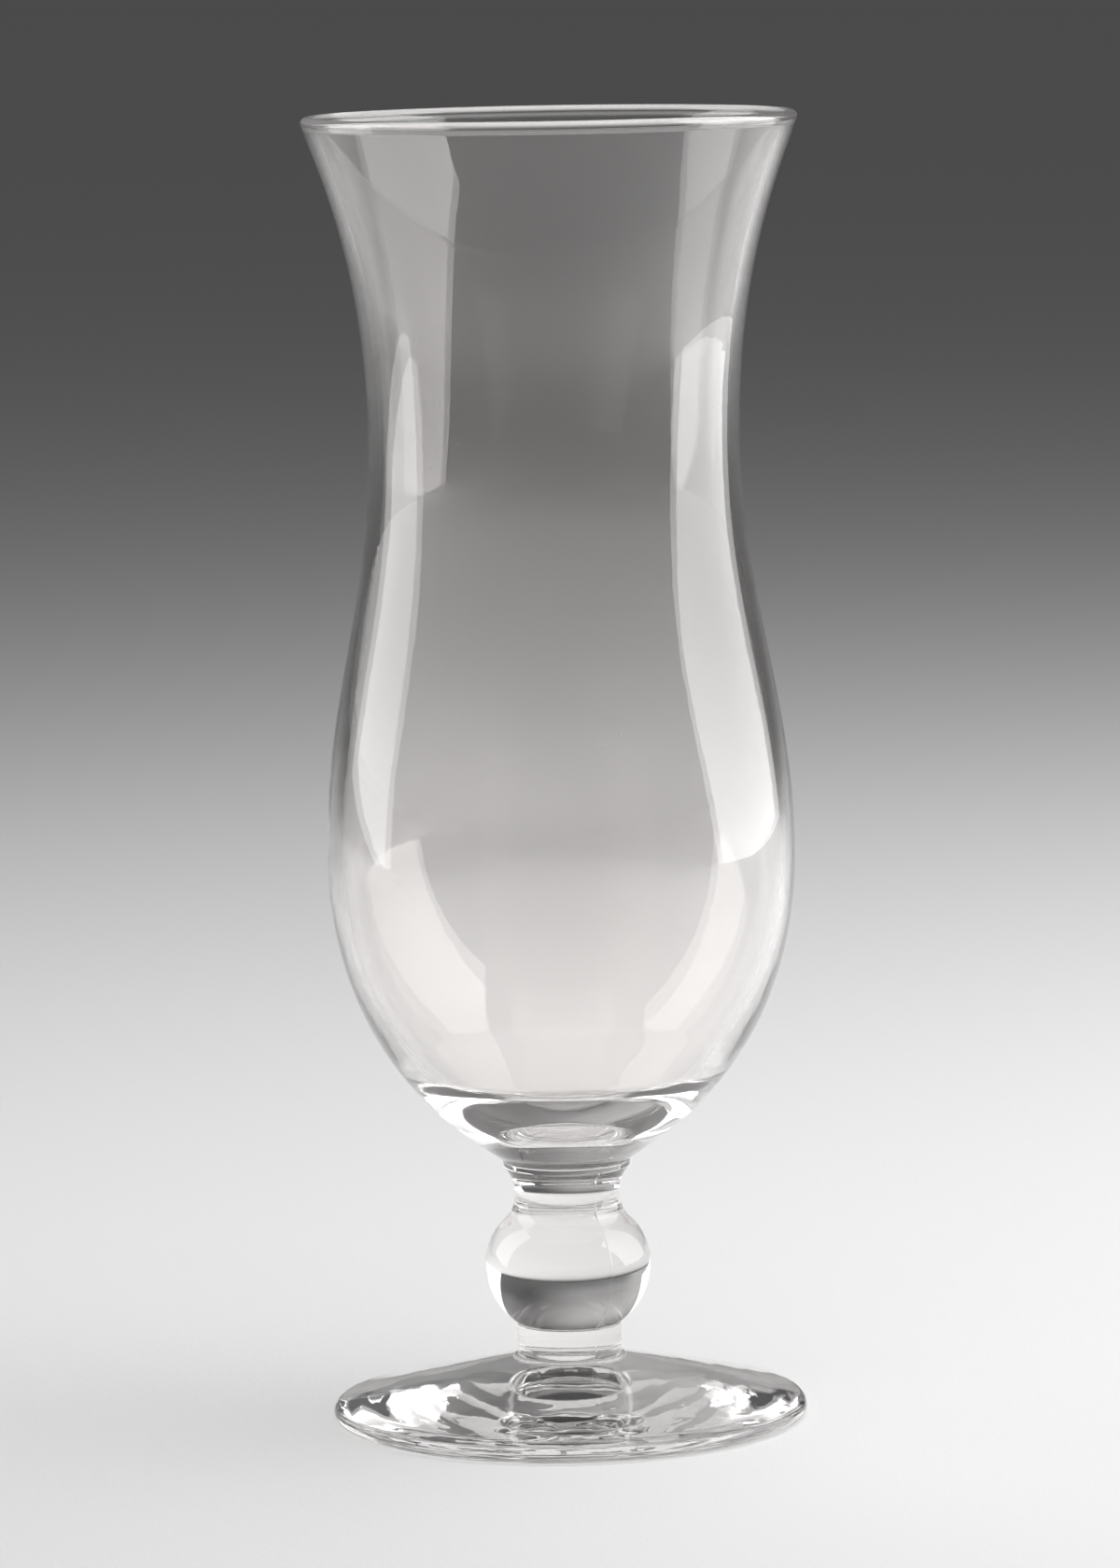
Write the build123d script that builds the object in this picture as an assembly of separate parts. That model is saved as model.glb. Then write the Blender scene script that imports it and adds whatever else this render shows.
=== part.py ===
from build123d import *

import os
from math import asin, atan2, cos, degrees, hypot, radians, sin, sqrt

# A hurricane glass: a blown bowl, a pressed ball stem and a pressed foot, fused end to end
# while hot. Millimetres, Z up, the table at Z 0 and the glass's own axis on Z. Every piece is
# turned from a half outline, written as points of radius and height.

# Foot: a disc that falls away from the stem as a low cone and ends in a round edge
foot_diameter = 76.6
foot_edge = 2.8             # thickness at the edge, rounded all the way
foot_height = 10.2          # table to the seam under the stem
foot_bearing = 4.5          # width of the flat ring that stands on the table
foot_hollow = 2.5           # how far the underside rises in the middle
boss_step = 0.75            # how far the ring under the stem stands out past the collar
boss_round = 0.6            # round on that ring's upper corner

# Stem: a collar, a ball, a neck and a ledge, pressed in one piece
collar_diameter = 16.84
collar_height = 4.7
collar_cove = 1.0           # hollow corner between the collar and the ball
ball_diameter = 26.7
ball_lower_curve = 11.8     # radius of the ball's outline below its widest ring
ball_upper_curve = 9.8      # and above it
neck_diameter = 16.82
neck_curve = 6.2            # radius of the hollow between the ball and the ledge
ledge_diameter = 20.4
ledge_edge = 0.95           # height of the ledge's upright edge
seam_round = 0.2            # rounds that leave a fine groove at each fused seam

# Bowl: thick base, round belly, drawn in waist, open mouth with a fire polished bead
belly_diameter = 74.98
waist_diameter = 59.18
rim_diameter = 78.84        # over the bead
base_to_belly = 50.25
belly_to_waist = 66.45
waist_to_rim = 51.4
base_flare = 50.4           # degrees from upright where the bowl leaves the ledge
rim_lean = 18.0             # degrees from upright at the mouth
base_pull = 4.3             # how far each curve holds its first or last direction
belly_lower_pull = 35.4
belly_upper_pull = 25.2
waist_lower_pull = 26.3
waist_upper_pull = 27.7
rim_pull = 6.9
bead_diameter = 2.12
bead_lip = 0.1              # how far the bead stands out on each side of the wall
waist_wall = 2.4
belly_wall = 2.4
flank_pull = 18.2           # how far the inside stays upright below the belly's widest ring
heel_share = 0.366          # how far up the outer flank the inside turns in to the floor
heel_wall = 3.2
heel_pull = 7.5             # how far the inside runs beside the outer flank above that heel
heel_turn = 3.6             # and below it
floor_thickness = 7.9       # solid glass under the drink
floor_flat = 11.2           # diameter of the level middle of the floor
floor_spread = 7.0          # how far the floor's curve holds level past that middle


def place(centre, radius, angle):
    """The point at an angle in degrees round a centre."""
    return (centre[0] + radius * cos(radians(angle)), centre[1] + radius * sin(radians(angle)))


def arc(centre, radius, start, end):
    """An arc between two angles in degrees, either way round."""
    return ThreePointArc(
        place(centre, radius, start),
        place(centre, radius, (start + end) / 2),
        place(centre, radius, end),
    )


def turned(*edges):
    """The solid turned round Z from a closed half outline."""
    half = make_face(Wire(list(edges)))
    return revolve(Plane.XZ * half, Axis.Z)


def make_foot():
    """The disc: hollow underside, flat bearing ring, round edge, cone and ring under the stem."""
    edge_round = foot_edge / 2
    edge_centre = (foot_diameter / 2 - edge_round, edge_round)
    boss_radius = collar_diameter / 2 + boss_step
    boss_foot = (boss_radius, foot_height - boss_round)
    across = edge_centre[0] - boss_foot[0]
    climb = boss_foot[1] - edge_centre[1]
    fall = degrees(atan2(climb, across) - asin(edge_round / hypot(across, climb)))
    hollow_edge = (edge_centre[0] - foot_bearing, 0)
    hollow_top = (0, foot_hollow)
    boss_top = (boss_radius - boss_round, foot_height)
    return turned(
        TangentArc(hollow_top, hollow_edge, tangent=(1, 0)),
        Line(hollow_edge, (edge_centre[0], 0)),
        arc(edge_centre, edge_round, -90, 90 - fall),
        Line(place(edge_centre, edge_round, 90 - fall), boss_foot),
        arc((boss_top[0], boss_foot[1]), boss_round, 0, 90),
        Line(boss_top, (0, foot_height)),
        Line((0, foot_height), hollow_top),
    )


def ball_height():
    """Table to the ball's widest ring, and the level where its cove leaves the collar."""
    centre_radius = ball_diameter / 2 - ball_lower_curve
    reach = collar_diameter / 2 + collar_cove - centre_radius
    cove_level = foot_height + collar_height
    return cove_level + sqrt((ball_lower_curve + collar_cove) ** 2 - reach**2), cove_level


def neck_height():
    """Table to the narrowest ring of the neck, where the hollow meets the ball in one line."""
    reach = neck_diameter / 2 + neck_curve - (ball_diameter / 2 - ball_upper_curve)
    return ball_height()[0] + sqrt((ball_upper_curve + neck_curve) ** 2 - reach**2)


def ledge_height():
    """Table to the underside of the ledge."""
    inward = neck_curve - (ledge_diameter - neck_diameter) / 2
    return neck_height() + sqrt(neck_curve**2 - inward**2)


def bowl_seam():
    """Table to the seam between the stem and the bowl."""
    return ledge_height() + ledge_edge


def make_stem():
    """Collar, ball, neck and ledge, with every curve running into the next."""
    ball_level, cove_level = ball_height()
    collar = collar_diameter / 2
    ledge = ledge_diameter / 2
    seam = bowl_seam()
    lower = (ball_diameter / 2 - ball_lower_curve, ball_level)
    upper = (ball_diameter / 2 - ball_upper_curve, ball_level)
    cove = (collar + collar_cove, cove_level)
    hollow = (neck_diameter / 2 + neck_curve, neck_height())
    cove_angle = degrees(atan2(cove[1] - lower[1], cove[0] - lower[0]))
    hollow_angle = degrees(atan2(hollow[1] - upper[1], hollow[0] - upper[0]))
    ledge_angle = degrees(atan2(ledge_height() - hollow[1], ledge - hollow[0]))
    return turned(
        Line((0, foot_height), (collar - seam_round, foot_height)),
        arc((collar - seam_round, foot_height + seam_round), seam_round, -90, 0),
        Line((collar, foot_height + seam_round), (collar, cove_level)),
        arc(cove, collar_cove, 180, 180 + cove_angle),
        arc(lower, ball_lower_curve, cove_angle, 0),
        arc(upper, ball_upper_curve, 0, hollow_angle),
        arc(hollow, neck_curve, 180 + hollow_angle, ledge_angle),
        Line((ledge, ledge_height()), (ledge, seam - seam_round)),
        arc((ledge - seam_round, seam - seam_round), seam_round, 0, 90),
        Line((ledge - seam_round, seam), (0, seam)),
        Line((0, seam), (0, foot_height)),
    )


def above(point, rise):
    """The point straight above another, or below it for a negative rise."""
    return (point[0], point[1] + rise)


def make_bowl():
    """Outer wall from the ledge to the bead, over it, and the inner wall down to the floor."""
    seam = bowl_seam()
    base = (ledge_diameter / 2, seam + seam_round)
    belly = (belly_diameter / 2, seam + base_to_belly)
    waist = above((waist_diameter / 2, belly[1]), belly_to_waist)
    rim = waist[1] + waist_to_rim
    bead = bead_diameter / 2
    bead_centre = (rim_diameter / 2 - bead, rim - bead)
    wall_angle = degrees(asin((bead - bead_lip) / bead))
    down_wall = 270 - rim_lean
    outer_rim = place(bead_centre, bead, down_wall + wall_angle)
    inner_rim = place(bead_centre, bead, down_wall - wall_angle)
    inner_waist = (waist[0] - waist_wall, waist[1])
    inner_belly = (belly[0] - belly_wall, belly[1])
    flank = Bezier(
        base,
        place(base, base_pull, 90 - base_flare),
        above(belly, -belly_lower_pull),
        belly,
    )
    beside = flank @ heel_share
    along = flank % heel_share
    rise = degrees(atan2(along.Y, along.X))
    heel = place((beside.X, beside.Y), heel_wall, rise + 90)
    floor = (0, seam + floor_thickness)
    floor_edge = (floor_flat / 2, floor[1])
    floor_pull = (floor_edge[0] + floor_spread, floor[1])
    return turned(
        Line((0, seam), (base[0] - seam_round, seam)),
        arc((base[0] - seam_round, base[1]), seam_round, -90, 0),
        flank,
        Bezier(belly, above(belly, belly_upper_pull), above(waist, -waist_lower_pull), waist),
        Bezier(waist, above(waist, waist_upper_pull), place(outer_rim, rim_pull, down_wall), outer_rim),
        arc(bead_centre, bead, down_wall + wall_angle - 360, down_wall - wall_angle),
        Bezier(
            inner_rim,
            place(inner_rim, rim_pull, down_wall),
            above(inner_waist, waist_upper_pull),
            inner_waist,
        ),
        Bezier(
            inner_waist,
            above(inner_waist, -waist_lower_pull),
            above(inner_belly, belly_upper_pull),
            inner_belly,
        ),
        Bezier(inner_belly, above(inner_belly, -flank_pull), place(heel, heel_pull, rise), heel),
        Bezier(heel, place(heel, heel_turn, rise + 180), floor_pull, floor_edge),
        Line(floor_edge, floor),
        Line(floor, (0, seam)),
    )


os.makedirs("parts", exist_ok=True)
export_step(make_foot(), "parts/foot.step")
export_step(make_stem(), "parts/knop_stem.step")
export_step(make_bowl(), "parts/bowl.step")
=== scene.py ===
from math import asin, atan2, cos, degrees, hypot, pi, radians, sin, sqrt

import bpy
from mathutils import Matrix, Quaternion, Vector, noise


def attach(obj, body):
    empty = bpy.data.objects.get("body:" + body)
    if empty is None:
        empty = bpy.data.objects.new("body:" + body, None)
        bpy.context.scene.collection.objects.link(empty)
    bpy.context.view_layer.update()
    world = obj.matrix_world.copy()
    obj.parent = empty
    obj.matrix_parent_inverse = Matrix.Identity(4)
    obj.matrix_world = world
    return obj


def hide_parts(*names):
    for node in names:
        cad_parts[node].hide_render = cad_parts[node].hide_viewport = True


# A hurricane glass on a pale table: foot, ball stem and blown bowl, fused end to end while hot.
# Sizes are millimetres, and a turned mesh goes into the scene in metres.
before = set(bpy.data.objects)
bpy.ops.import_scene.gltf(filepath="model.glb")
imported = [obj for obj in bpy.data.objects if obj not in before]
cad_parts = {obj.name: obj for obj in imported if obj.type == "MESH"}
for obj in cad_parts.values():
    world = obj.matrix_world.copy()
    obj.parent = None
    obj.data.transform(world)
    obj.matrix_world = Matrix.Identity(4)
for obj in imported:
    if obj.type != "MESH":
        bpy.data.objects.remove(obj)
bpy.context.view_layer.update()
scene = bpy.context.scene


# Foot
# The real foot is a disc of clear glass, pressed hot in a mould under the stem. Its top falls as a low
# cone to a round edge, and the chilled mould leaves its faces softly mottled. It stands on a flat ring.
foot_diameter = 76.6
foot_edge = 2.8
foot_height = 10.2
foot_bearing = 4.5
foot_hollow = 2.5
collar_diameter = 16.84
boss_step = 0.75
boss_round = 0.6
seam_round = 0.2
foot_mottle = 0.045
hollow_mottle = 0.03


def swing(centre, radius, angle):
    """The point at an angle in degrees round a centre."""
    return (centre[0] + radius * cos(radians(angle)), centre[1] + radius * sin(radians(angle)))


def sweep(centre, radius, start, end, steps):
    """Points along an arc, both ends included."""
    return [swing(centre, radius, start + (end - start) * i / steps) for i in range(steps + 1)]


def rule(start, end, steps):
    """Points along a straight line, both ends included."""
    return [
        (start[0] + (end[0] - start[0]) * i / steps, start[1] + (end[1] - start[1]) * i / steps)
        for i in range(steps + 1)
    ]


def join_outline(*runs):
    """One outline from runs of points, with each shared end kept once."""
    outline = []
    for run in runs:
        for point in run:
            if not outline or hypot(point[0] - outline[-1][0], point[1] - outline[-1][1]) > 1e-4:
                outline.append(point)
    return outline


def outward(outline, place):
    """The direction across the outline at one of its points, away from the glass."""
    before = outline[max(place - 1, 0)]
    after = outline[min(place + 1, len(outline) - 1)]
    along = Vector((after[0] - before[0], after[1] - before[1])).normalized()
    return along.y, -along.x


def turn_glass(name, outline, angles, wave, fused):
    """A glass piece turned round Z from an outline that starts and ends on the axis.

    wave(r, z, angle) moves the skin outward in millimetres, and faces between outline points where
    fused(r, z) holds lie in melted glass, so they take the second material.
    """
    corners = []
    rings = []
    for place, (r, z) in enumerate(outline):
        if r < 1e-6:
            rings.append([len(corners)])
            corners.append((0.0, 0.0, z / 1000))
            continue
        out_r, out_z = outward(outline, place)
        rings.append(range(len(corners), len(corners) + len(angles)))
        for angle in angles:
            lift = wave(r, z, angle)
            reach = (r + lift * out_r) / 1000
            corners.append((reach * cos(angle), reach * sin(angle), (z + lift * out_z) / 1000))
    faces = []
    slots = []
    for place, (low, high) in enumerate(zip(rings, rings[1:])):
        melted = int(fused(*outline[place]) and fused(*outline[place + 1]))
        for i in range(len(angles)):
            j = (i + 1) % len(angles)
            if len(low) == 1:
                faces.append((low[0], high[j], high[i]))
            elif len(high) == 1:
                faces.append((low[i], low[j], high[0]))
            else:
                faces.append((low[i], low[j], high[j], high[i]))
            slots.append(melted)
    skin = bpy.data.meshes.new(name)
    skin.from_pydata(corners, [], faces)
    skin.polygons.foreach_set("material_index", slots)
    skin.polygons.foreach_set("use_smooth", [True] * len(faces))
    skin.set_sharp_from_angle(angle=radians(50))
    skin.update()
    piece = bpy.data.objects.new(name, skin)
    scene.collection.objects.link(piece)
    return piece


def fade(value, start, end):
    """0 at start, 1 at end, smooth between them."""
    share = min(max((value - start) / (end - start), 0.0), 1.0)
    return share * share * (3 - 2 * share)


def even_angles(count):
    """Angles all round, in radians."""
    return [2 * pi * i / count for i in range(count)]


def foot_wave(r, z, angle):
    """The mottle of pressed glass: flat on the bearing ring and none at the seam."""
    x, y = r * cos(angle), r * sin(angle)
    broad = noise.noise((x / 9, y / 9, z / 9))
    fine = noise.noise((x / 3.6 + 40, y / 3.6, z / 3.6))
    rings = noise.noise((r / 2.4, 2.4 * cos(angle), 2.4 * sin(angle)))
    mottle = broad + 0.3 * fine + 0.6 * rings
    if z < foot_hollow and r < hollow_edge[0]:
        return hollow_mottle * mottle * fade(hollow_edge[0] - r, 0, 4)
    return foot_mottle * mottle * fade(z, 0.2, 1.6) * fade(r, collar_diameter / 2, 13)


edge_round = foot_edge / 2
edge_centre = (foot_diameter / 2 - edge_round, edge_round)
boss_foot = (collar_diameter / 2 + boss_step, foot_height - boss_round)
across, climb = edge_centre[0] - boss_foot[0], boss_foot[1] - edge_centre[1]
fall = degrees(atan2(climb, across) - asin(edge_round / hypot(across, climb)))
hollow_edge = (edge_centre[0] - foot_bearing, 0.0)
dome_radius = (hollow_edge[0] ** 2 + foot_hollow**2) / (2 * foot_hollow)
dome_half = degrees(asin(hollow_edge[0] / dome_radius))
boss_top = (boss_foot[0] - boss_round, foot_height)
foot_seam = collar_diameter / 2 - seam_round
foot = turn_glass(
    "foot",
    join_outline(
        sweep((0, foot_hollow - dome_radius), dome_radius, 90, 90 - dome_half, 36),
        rule(hollow_edge, (edge_centre[0], 0.0), 4),
        sweep(edge_centre, edge_round, -90, 90 - fall, 22),
        rule(swing(edge_centre, edge_round, 90 - fall), boss_foot, 34),
        sweep((boss_top[0], boss_foot[1]), boss_round, 0, 90, 8),
        rule(boss_top, (foot_seam, foot_height), 2),
        [(0.0, foot_height)],
    ),
    even_angles(224),
    foot_wave,
    lambda r, z: z > foot_height - 1e-6 and r < foot_seam + 1e-6,
)


def build_glass_skin():
    """Shared finish of clear glass: slow draw marks, fine ripple, wiped smears and dust."""
    skin = bpy.data.node_groups.new("glass_skin", "ShaderNodeTree")
    for name, start in (("Ripple size", 0.006), ("Draw size", 0.03), ("Draw stretch", 1.0), ("Dust", 0.5)):
        socket = skin.interface.new_socket(name, in_out="INPUT", socket_type="NodeSocketFloat")
        socket.default_value = start
    for name, kind in (("Height", "Float"), ("Roughness", "Float"), ("Tint", "Color")):
        skin.interface.new_socket(name, in_out="OUTPUT", socket_type="NodeSocket" + kind)
    nodes, links = skin.nodes, skin.links
    given = nodes.new("NodeGroupInput")
    made = nodes.new("NodeGroupOutput")
    where = nodes.new("ShaderNodeTexCoord")

    def worked(kind, first, second):
        """One number worked out from two."""
        node = nodes.new("ShaderNodeMath")
        node.operation = kind
        for socket, source in zip(node.inputs, (first, second)):
            if isinstance(source, float):
                socket.default_value = source
            else:
                links.new(source, socket)
        return node.outputs[0]

    def cloud(per_metre, detail, stretch=None):
        """Soft noise at a size, drawn out along the axis where stretch is given."""
        place = where.outputs["Object"]
        if stretch is not None:
            pull = nodes.new("ShaderNodeCombineXYZ")
            pull.inputs["X"].default_value = 1.0
            pull.inputs["Y"].default_value = 1.0
            links.new(stretch, pull.inputs["Z"])
            scaled = nodes.new("ShaderNodeVectorMath")
            scaled.operation = "MULTIPLY"
            links.new(place, scaled.inputs[0])
            links.new(pull.outputs[0], scaled.inputs[1])
            place = scaled.outputs[0]
        spots = nodes.new("ShaderNodeTexNoise")
        spots.inputs["Detail"].default_value = detail
        spots.inputs["Roughness"].default_value = 0.5
        links.new(place, spots.inputs["Vector"])
        if isinstance(per_metre, float):
            spots.inputs["Scale"].default_value = per_metre
        else:
            links.new(per_metre, spots.inputs["Scale"])
        return spots.outputs["Fac"]

    def ranged(value, low, high, most=1.0):
        """0 at low, most at high, and straight between them."""
        node = nodes.new("ShaderNodeMapRange")
        node.inputs["From Min"].default_value = low
        node.inputs["From Max"].default_value = high
        node.inputs["To Max"].default_value = most
        links.new(value, node.inputs["Value"])
        return node.outputs[0]

    ripple_share = 0.15
    ripple = cloud(worked("DIVIDE", 1.0, given.outputs["Ripple size"]), 2.0)
    draw = cloud(worked("DIVIDE", 1.0, given.outputs["Draw size"]), 1.0, given.outputs["Draw stretch"])
    links.new(worked("ADD", draw, worked("MULTIPLY", ripple, ripple_share)), made.inputs["Height"])

    smear = ranged(cloud(45.0, 3.0), 0.62, 0.80, 0.05)
    specks = nodes.new("ShaderNodeTexVoronoi")
    specks.inputs["Scale"].default_value = 420.0
    links.new(where.outputs["Object"], specks.inputs["Vector"])
    near = ranged(specks.outputs["Distance"], 0.10, 0.05)
    patch = ranged(cloud(60.0, 2.0), 0.52, 0.66)
    dust = worked("MULTIPLY", worked("MULTIPLY", near, patch), given.outputs["Dust"])
    links.new(worked("MAXIMUM", smear, dust), made.inputs["Roughness"])

    tint = nodes.new("ShaderNodeValToRGB")
    tint.color_ramp.elements[0].color = (0.99, 0.971, 0.964, 1)
    tint.color_ramp.elements[1].color = (1.0, 0.986, 0.978, 1)
    links.new(cloud(30.0, 1.0), tint.inputs["Fac"])
    links.new(tint.outputs["Color"], made.inputs["Tint"])
    return skin


glass_skin = build_glass_skin()


def clear_glass(name, ripple_size, draw_size, draw_stretch, dust, depth, film):
    """Clear soda-lime glass with the shared skin and a thin film of wiping. Lamps shine through it."""
    glass = bpy.data.materials.new(name)
    glass.use_nodes = True
    nodes, links = glass.node_tree.nodes, glass.node_tree.links
    shader = nodes["Principled BSDF"]
    shader.inputs["IOR"].default_value = 1.52
    shader.inputs["Transmission Weight"].default_value = 1 - film
    skin = nodes.new("ShaderNodeGroup")
    skin.node_tree = glass_skin
    skin.inputs["Ripple size"].default_value = ripple_size
    skin.inputs["Draw size"].default_value = draw_size
    skin.inputs["Draw stretch"].default_value = draw_stretch
    skin.inputs["Dust"].default_value = dust
    bump = nodes.new("ShaderNodeBump")
    bump.inputs["Distance"].default_value = depth
    bump.inputs["Strength"].default_value = 1.0
    links.new(skin.outputs["Height"], bump.inputs["Height"])
    links.new(bump.outputs["Normal"], shader.inputs["Normal"])
    links.new(skin.outputs["Roughness"], shader.inputs["Roughness"])
    links.new(skin.outputs["Tint"], shader.inputs["Base Color"])
    path = nodes.new("ShaderNodeLightPath")
    lamp_through = nodes.new("ShaderNodeBsdfTransparent")
    lamp_through.inputs["Color"].default_value = (0.91, 0.91, 0.91, 1)
    either = nodes.new("ShaderNodeMixShader")
    links.new(path.outputs["Is Shadow Ray"], either.inputs["Fac"])
    links.new(shader.outputs[0], either.inputs[1])
    links.new(lamp_through.outputs[0], either.inputs[2])
    links.new(either.outputs[0], nodes["Material Output"].inputs["Surface"])
    return glass


def melted_seam():
    """Where two pieces melted into one there is no face left to see, only glass."""
    seam = bpy.data.materials.new("melted_seam")
    seam.use_nodes = True
    shader = seam.node_tree.nodes["Principled BSDF"]
    shader.inputs["Base Color"].default_value = (1, 1, 1, 1)
    shader.inputs["Alpha"].default_value = 0.0
    return seam


pressed_glass = clear_glass(
    "pressed_glass", ripple_size=0.004, draw_size=0.012, draw_stretch=1.0, dust=0.3, depth=0.00012, film=0.004
)
melted = melted_seam()
foot.data.materials.append(pressed_glass)
foot.data.materials.append(melted)
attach(foot, "root")
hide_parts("foot")


# Ball stem
# The real stem is one pressing of clear glass: a collar, a ball, a neck and a ledge under the bowl.
# The two halves of its mould leave a fine raised line up each side, from the collar to the ledge.
collar_height = 4.7
collar_cove = 1.0
ball_diameter = 26.7
ball_lower_curve = 11.8
ball_upper_curve = 9.8
neck_diameter = 16.82
neck_curve = 6.2
ledge_diameter = 20.4
ledge_edge = 0.95
mould_line_angle = radians(-59)
mould_line_height = 0.10
mould_line_width = 0.22
mould_line_wander = 0.05
chill_ripple = 0.02

collar = collar_diameter / 2
ledge = ledge_diameter / 2
cove_level = foot_height + collar_height
lower_reach = collar + collar_cove - (ball_diameter / 2 - ball_lower_curve)
ball_level = cove_level + sqrt((ball_lower_curve + collar_cove) ** 2 - lower_reach**2)
upper_reach = neck_diameter / 2 + neck_curve - (ball_diameter / 2 - ball_upper_curve)
neck_level = ball_level + sqrt((ball_upper_curve + neck_curve) ** 2 - upper_reach**2)
ledge_level = neck_level + sqrt(neck_curve**2 - (neck_curve - (ledge_diameter - neck_diameter) / 2) ** 2)
bowl_seam = ledge_level + ledge_edge
ball_lower = (ball_diameter / 2 - ball_lower_curve, ball_level)
ball_upper = (ball_diameter / 2 - ball_upper_curve, ball_level)
cove = (collar + collar_cove, cove_level)
neck_hollow = (neck_diameter / 2 + neck_curve, neck_level)
cove_angle = degrees(atan2(cove[1] - ball_lower[1], cove[0] - ball_lower[0]))
hollow_angle = degrees(atan2(neck_hollow[1] - ball_upper[1], neck_hollow[0] - ball_upper[0]))
ledge_angle = degrees(atan2(ledge_level - neck_hollow[1], ledge - neck_hollow[0]))


def mould_angles(count):
    """Angles all round, with extra ones across the two mould lines."""
    close = [mould_line_angle + side * pi + step * 0.006 for side in (0, 1) for step in range(-6, 7)]
    even = [
        angle
        for angle in even_angles(count)
        if all(abs((angle - other + pi) % (2 * pi) - pi) > 0.008 for other in close)
    ]
    return sorted((angle % (2 * pi) for angle in even + close))


def stem_wave(r, z, angle):
    """A trace of chill ripple, and the mould line along both sides."""
    from_seams = fade(z, foot_height + 0.2, foot_height + 1.2) * fade(bowl_seam - z, 0.2, 0.9)
    ripple = chill_ripple * noise.noise((r * cos(angle) / 7 + 9, r * sin(angle) / 7, z / 7))
    off_line = r * sin(angle - mould_line_angle)
    wander = mould_line_wander * noise.noise((0.3, z / 2.5, 7.1))
    line = mould_line_height * max(0.0, 1 - ((off_line + wander) / mould_line_width) ** 2)
    return from_seams * (ripple + line)


knop_stem = turn_glass(
    "knop_stem",
    join_outline(
        [(0.0, foot_height)],
        sweep((collar - seam_round, foot_height + seam_round), seam_round, -90, 0, 5),
        rule((collar, foot_height + seam_round), (collar, cove_level), 8),
        sweep(cove, collar_cove, 180, 180 + cove_angle, 8),
        sweep(ball_lower, ball_lower_curve, cove_angle, 0, 34),
        sweep(ball_upper, ball_upper_curve, 0, hollow_angle, 28),
        sweep(neck_hollow, neck_curve, 180 + hollow_angle, ledge_angle, 30),
        rule((ledge, ledge_level), (ledge, bowl_seam - seam_round), 3),
        sweep((ledge - seam_round, bowl_seam - seam_round), seam_round, 0, 90, 5),
        [(0.0, bowl_seam)],
    ),
    mould_angles(180),
    stem_wave,
    lambda r, z: z < foot_height + 1e-6 or z > bowl_seam - 1e-6,
)
knop_stem.data.materials.append(pressed_glass)
knop_stem.data.materials.append(melted)
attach(knop_stem, "root")
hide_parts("knop_stem")


# Bowl
# The real bowl is blown in a turning mould from one gather of clear glass: thick at its base, thin in
# the belly, drawn in at the waist and open at the mouth, where a flame melts the edge into a bead.
belly_diameter = 74.98
waist_diameter = 59.18
rim_diameter = 78.84
base_to_belly = 50.25
belly_to_waist = 66.45
waist_to_rim = 51.4
base_flare = 50.4
rim_lean = 18.0
base_pull = 4.3
belly_lower_pull = 35.4
belly_upper_pull = 25.2
waist_lower_pull = 26.3
waist_upper_pull = 27.7
rim_pull = 6.9
bead_diameter = 2.12
bead_lip = 0.1
wall = 2.4
flank_pull = 18.2
heel_share = 0.366
heel_wall = 3.2
heel_pull = 7.5
heel_turn = 3.6
floor_thickness = 7.9
floor_flat = 11.2
floor_spread = 7.0
slow_wave = 0.035
quick_wave = 0.006


def blown(start, start_pull, end_pull, end, steps):
    """Points along a blown curve that leaves start and reaches end towards the two pull points."""
    points = []
    for step in range(steps + 1):
        t = step / steps
        shares = ((1 - t) ** 3, 3 * t * (1 - t) ** 2, 3 * t * t * (1 - t), t**3)
        corners = (start, start_pull, end_pull, end)
        points.append(tuple(sum(k * corner[axis] for k, corner in zip(shares, corners)) for axis in (0, 1)))
    return points


def above(point, rise):
    """The point straight above another, or below it for a negative rise."""
    return (point[0], point[1] + rise)


def beside_flank(flank, share, distance):
    """The point inside the glass at a share of the flank's length, and the flank's rise there."""
    lengths = [0.0]
    for low, high in zip(flank, flank[1:]):
        lengths.append(lengths[-1] + hypot(high[0] - low[0], high[1] - low[1]))
    place = next(i for i, length in enumerate(lengths) if length >= share * lengths[-1])
    low, high = flank[place - 1], flank[place]
    part = (share * lengths[-1] - lengths[place - 1]) / (lengths[place] - lengths[place - 1])
    on_flank = (low[0] + (high[0] - low[0]) * part, low[1] + (high[1] - low[1]) * part)
    rise = degrees(atan2(high[1] - low[1], high[0] - low[0]))
    return swing(on_flank, distance, rise + 90), rise


def bowl_wave(r, z, angle):
    """The slow waves of a blown wall, with none at the seam or the bead."""
    x, y = r * cos(angle), r * sin(angle)
    slow = noise.noise((x / 26, y / 26, z / 40))
    quick = noise.noise((x / 11 + 20, y / 11, z / 16))
    calm = fade(z, bowl_seam + 0.4, bowl_seam + 4) * fade(rim - z, 3, 12)
    return calm * (slow_wave * slow + quick_wave * quick)


base = (ledge, bowl_seam + seam_round)
belly = (belly_diameter / 2, bowl_seam + base_to_belly)
waist = above((waist_diameter / 2, belly[1]), belly_to_waist)
rim = waist[1] + waist_to_rim
bead = bead_diameter / 2
bead_centre = (rim_diameter / 2 - bead, rim - bead)
wall_angle = degrees(asin((bead - bead_lip) / bead))
down_wall = 270 - rim_lean
outer_rim = swing(bead_centre, bead, down_wall + wall_angle)
inner_rim = swing(bead_centre, bead, down_wall - wall_angle)
inner_waist = (waist[0] - wall, waist[1])
inner_belly = (belly[0] - wall, belly[1])
base_out = swing(base, base_pull, 90 - base_flare)
heel, heel_rise = beside_flank(
    blown(base, base_out, above(belly, -belly_lower_pull), belly, 400), heel_share, heel_wall
)
floor_edge = (floor_flat / 2, bowl_seam + floor_thickness)
floor_pull = (floor_edge[0] + floor_spread, floor_edge[1])
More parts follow.
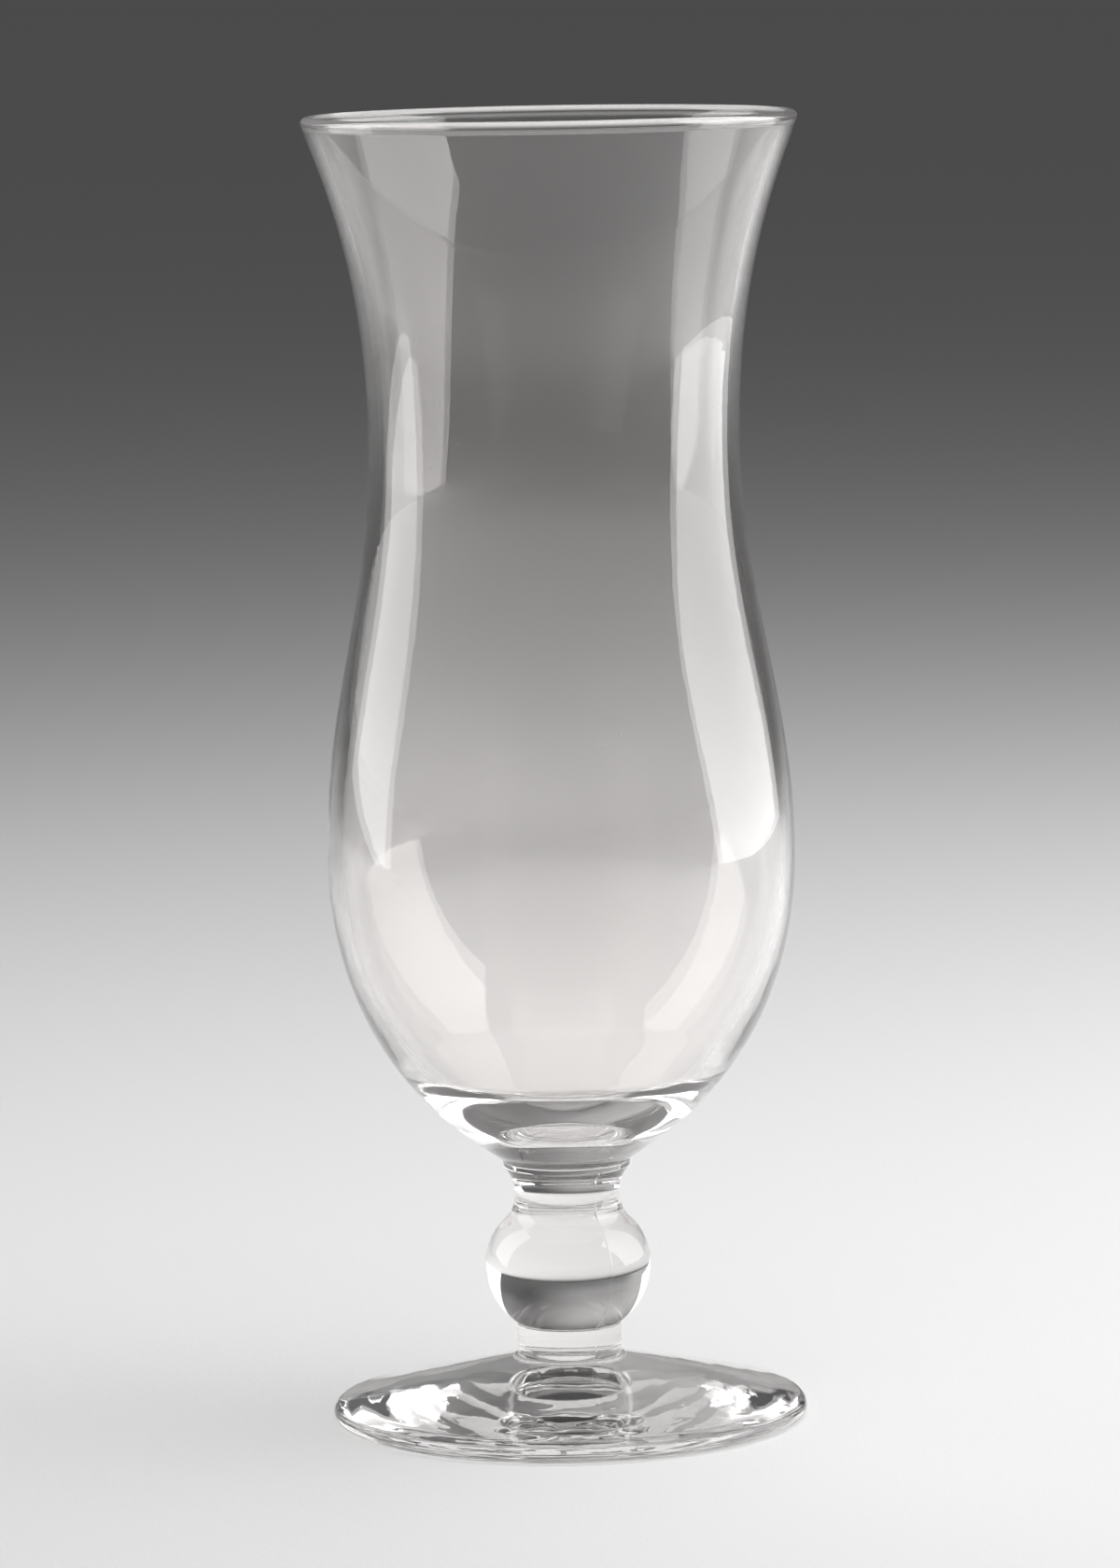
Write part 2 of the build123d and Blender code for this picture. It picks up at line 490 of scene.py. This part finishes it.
bowl = turn_glass(
    "bowl",
    join_outline(
        [(0.0, bowl_seam)],
        sweep((base[0] - seam_round, base[1]), seam_round, -90, 0, 5),
        blown(base, base_out, above(belly, -belly_lower_pull), belly, 56),
        blown(belly, above(belly, belly_upper_pull), above(waist, -waist_lower_pull), waist, 44),
        blown(waist, above(waist, waist_upper_pull), swing(outer_rim, rim_pull, down_wall), outer_rim, 44),
        sweep(bead_centre, bead, down_wall + wall_angle - 360, down_wall - wall_angle, 22),
        blown(
            inner_rim,
            swing(inner_rim, rim_pull, down_wall),
            above(inner_waist, waist_upper_pull),
            inner_waist,
            44,
        ),
        blown(
            inner_waist,
            above(inner_waist, -waist_lower_pull),
            above(inner_belly, belly_upper_pull),
            inner_belly,
            44,
        ),
        blown(inner_belly, above(inner_belly, -flank_pull), swing(heel, heel_pull, heel_rise), heel, 40),
        blown(heel, swing(heel, heel_turn, heel_rise + 180), floor_pull, floor_edge, 40),
        rule(floor_edge, (0.0, floor_edge[1]), 12),
    ),
    even_angles(224),
    bowl_wave,
    lambda r, z: z < bowl_seam + 1e-6,
)
blown_glass = clear_glass(
    "blown_glass", ripple_size=0.006, draw_size=0.03, draw_stretch=0.35, dust=0.3, depth=0.0001, film=0.018
)
bowl.data.materials.append(blown_glass)
bowl.data.materials.append(melted)
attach(bowl, "root")
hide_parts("bowl")


# Table
# The real table is a wide plain sheet of pale matt paper. It lies a hair under the foot's bearing ring, as
# air does under any glass that stands on a table.
table_half = 40.0
table_air = 0.0001
table_sheet = bpy.data.meshes.new("table")
table_sheet.from_pydata(
    [(x * table_half, y * table_half, 0) for x, y in ((-1, -1), (1, -1), (1, 1), (-1, 1))],
    [],
    [(0, 1, 2, 3)],
)
table = bpy.data.objects.new("table", table_sheet)
table.location.z = -table_air
scene.collection.objects.link(table)


def plain_paper():
    """Matt pale paper, one tone all over, with a fine grain of fibres."""
    paper = bpy.data.materials.new("plain_paper")
    paper.use_nodes = True
    nodes, links = paper.node_tree.nodes, paper.node_tree.links
    shader = nodes["Principled BSDF"]
    shader.inputs["Base Color"].default_value = (0.8, 0.8, 0.8, 1)
    shader.inputs["Roughness"].default_value = 0.9
    shader.inputs["Specular IOR Level"].default_value = 0.0
    where = nodes.new("ShaderNodeTexCoord")
    fibre = nodes.new("ShaderNodeTexNoise")
    fibre.inputs["Scale"].default_value = 900.0
    fibre.inputs["Detail"].default_value = 3.0
    links.new(where.outputs["Object"], fibre.inputs["Vector"])
    grain = nodes.new("ShaderNodeBump")
    grain.inputs["Distance"].default_value = 0.00005
    links.new(fibre.outputs["Fac"], grain.inputs["Height"])
    links.new(grain.outputs["Normal"], shader.inputs["Normal"])
    return paper


table_sheet.materials.append(plain_paper())


# Studio light
# The real light is two tall soft boxes that lean towards the camera, the right one brighter, a weak one
# overhead, a lamp over the table on the right, and a dim room with a dark ceiling: dark behind the glass
# on the right, paler on the left and low in front.


def soft_box(name, place, aim, width, height, lean, ends, brightness):
    """A flat soft lamp, leaning in its own plane, that the camera itself doesn't see.

    Its cloth glows unevenly across its width: ends are the shares at its two edges.
    """
    lamp = bpy.data.lights.new(name, "AREA")
    lamp.shape = "RECTANGLE"
    lamp.size = width
    lamp.size_y = height
    lamp.energy = brightness * width * height * pi
    lamp.use_nodes = True
    nodes, links = lamp.node_tree.nodes, lamp.node_tree.links
    cloth = nodes.new("ShaderNodeNewGeometry")
    sides = nodes.new("ShaderNodeSeparateXYZ")
    glow = nodes.new("ShaderNodeMapRange")
    glow.inputs["To Min"].default_value, glow.inputs["To Max"].default_value = ends
    links.new(cloth.outputs["Parametric"], sides.inputs[0])
    links.new(sides.outputs["X"], glow.inputs["Value"])
    links.new(glow.outputs[0], nodes["Emission"].inputs["Strength"])
    holder = bpy.data.objects.new(name, lamp)
    holder.location = place
    facing = (Vector(aim) - Vector(place)).to_track_quat("-Z", "Y")
    holder.rotation_euler = (facing @ Quaternion((0, 0, 1), radians(lean))).to_euler()
    holder.visible_camera = False
    scene.collection.objects.link(holder)
    return holder


soft_box(
    "right_box", place=(0.78, 0.17, 0.343), aim=(0, 0.17, 0.343),
    width=0.76, height=1.4, lean=30, ends=(1.0, 0.4), brightness=3.7,
)
soft_box(
    "left_box", place=(-0.78, 0.22, 0.5), aim=(0, 0.22, 0.5),
    width=0.52, height=0.95, lean=-12, ends=(0.6, 1.05), brightness=2.4,
)
soft_box(
    "overhead_box", place=(0, -0.4, 1.3), aim=(0, -0.4, 0),
    width=1.4, height=0.9, lean=0, ends=(1, 1), brightness=0.6,
)
table_box = soft_box(
    "table_box", place=(0.45, 0.08, 0.85), aim=(0.45, 0.08, 0),
    width=1.0, height=0.9, lean=0, ends=(1, 1), brightness=2.4,
)
table_box.visible_glossy = False
table_box.visible_transmission = False

room = bpy.data.worlds.new("room")
scene.world = room
room.use_nodes = True
room_nodes, room_links = room.node_tree.nodes, room.node_tree.links
facing = room_nodes.new("ShaderNodeTexCoord")
axes = room_nodes.new("ShaderNodeSeparateXYZ")
room_links.new(facing.outputs["Generated"], axes.inputs[0])


def up_the_wall(stops):
    """Tones of one side of the room, from the level of the table to overhead."""
    ramp = room_nodes.new("ShaderNodeValToRGB")
    ramp.color_ramp.interpolation = "EASE"
    marks = ramp.color_ramp.elements
    for mark in stops[2:]:
        marks.new(0.5)
    for mark, (height, tone) in zip(marks, stops):
        mark.position = height
        mark.color = (tone, tone, tone, 1)
    room_links.new(axes.outputs["Z"], ramp.inputs["Fac"])
    return ramp.outputs["Color"]


def blend_over(value, low, high, before, after):
    """A soft change of tone along one direction of the room."""
    step = room_nodes.new("ShaderNodeMapRange")
    step.interpolation_type = "SMOOTHSTEP"
    step.inputs["From Min"].default_value = low
    step.inputs["From Max"].default_value = high
    for socket, source in zip(("Value", "To Min", "To Max"), (value, before, after)):
        room_links.new(source, step.inputs[socket])
    return step.outputs[0]


left_wall = up_the_wall(((0, 0.15), (0.12, 0.31), (0.4, 0.45), (0.7, 0.03)))
right_wall = up_the_wall(((0, 0.08), (0.12, 0.06), (0.4, 0.14), (0.7, 0.03)))
back_wall = blend_over(axes.outputs["X"], -0.2, 0.42, left_wall, right_wall)
far_left = up_the_wall(((0, 0.42), (0.4, 0.42), (0.7, 0.03)))
back = blend_over(axes.outputs["X"], -0.72, -0.5, far_left, back_wall)
front = up_the_wall(((0, 0.1), (0.1, 0.42), (0.15, 0.42), (0.38, 0.04)))
whole_room = blend_over(axes.outputs["Y"], -0.3, 0.3, front, back)
room_links.new(whole_room, room_nodes["Background"].inputs["Color"])
scene.cycles.max_bounces = 24
scene.cycles.transmission_bounces = 24
scene.cycles.glossy_bounces = 12
scene.cycles.transparent_max_bounces = 32


# Camera
# The photo looks slightly down on the glass from just over a metre in front of it, with a long lens,
# and leans a degree to one side.
camera_lens = bpy.data.cameras.new("camera")
camera_lens.lens = 165.914
camera_lens.clip_start = 0.01
camera_lens.clip_end = 200
camera = bpy.data.objects.new("camera", camera_lens)
scene.collection.objects.link(camera)
camera_place = (0, -1.14877, 0.24778)
look_down = 0.12552
lean = -0.01735
ahead = Vector((0, cos(look_down), -sin(look_down)))
level_up = Vector((1, 0, 0)).cross(ahead)
side = cos(lean) * Vector((1, 0, 0)) + sin(lean) * level_up
up = -sin(lean) * Vector((1, 0, 0)) + cos(lean) * level_up
turned = Matrix((side, up, -ahead)).transposed().to_4x4()
camera.matrix_world = Matrix.Translation(camera_place) @ turned
scene.camera = camera
scene.view_settings.view_transform = "Standard"
